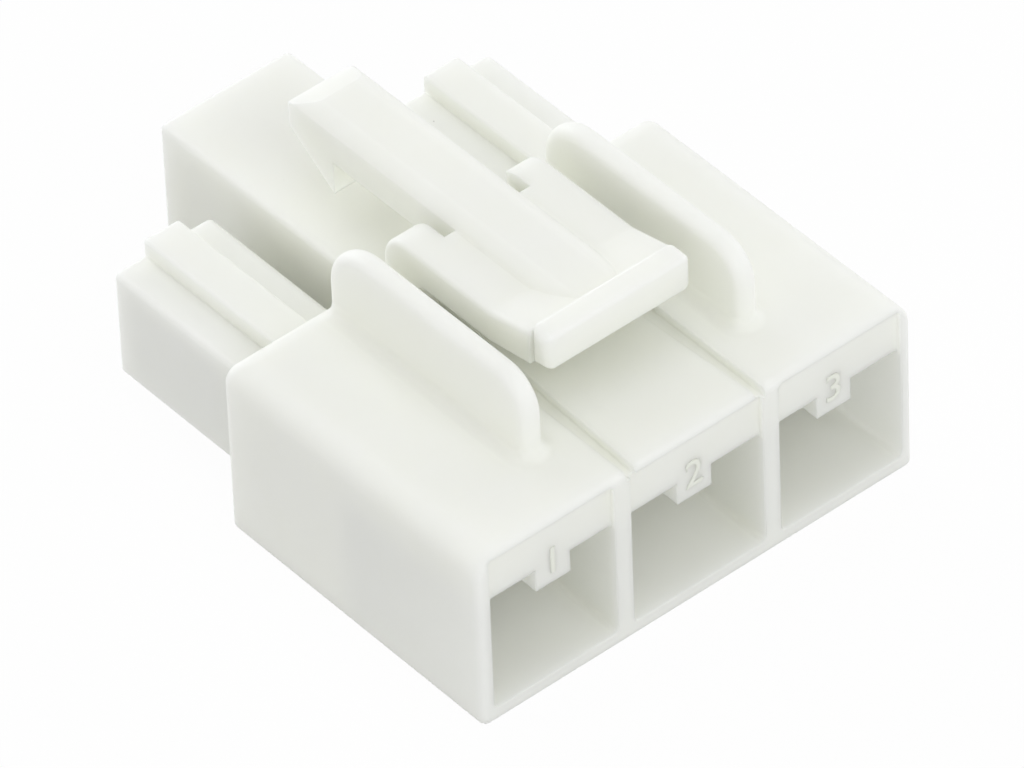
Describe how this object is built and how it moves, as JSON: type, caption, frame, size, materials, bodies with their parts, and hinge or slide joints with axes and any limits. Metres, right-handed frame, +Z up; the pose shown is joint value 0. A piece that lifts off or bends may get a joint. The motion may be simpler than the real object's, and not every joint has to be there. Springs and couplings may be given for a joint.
{
  "type": "wire to board connector housing",
  "caption": "Moulded nylon power connector housing with separate terminal cavities, mating towers, guard fins and a latch lever on top.",
  "frame": {"origin": "middle of the flat foot under the body", "axes": "+X across the circuits, +Y from the wire entry face to the mating end, +Z up from the foot to the latch lever"},
  "size_m": [0.023, 0.03, 0.0133],
  "materials": {
    "nylon": "satin natural nylon"
  },
  "bodies": {
    "root": {"connector_housing": "nylon"}
  },
  "joints": []
}
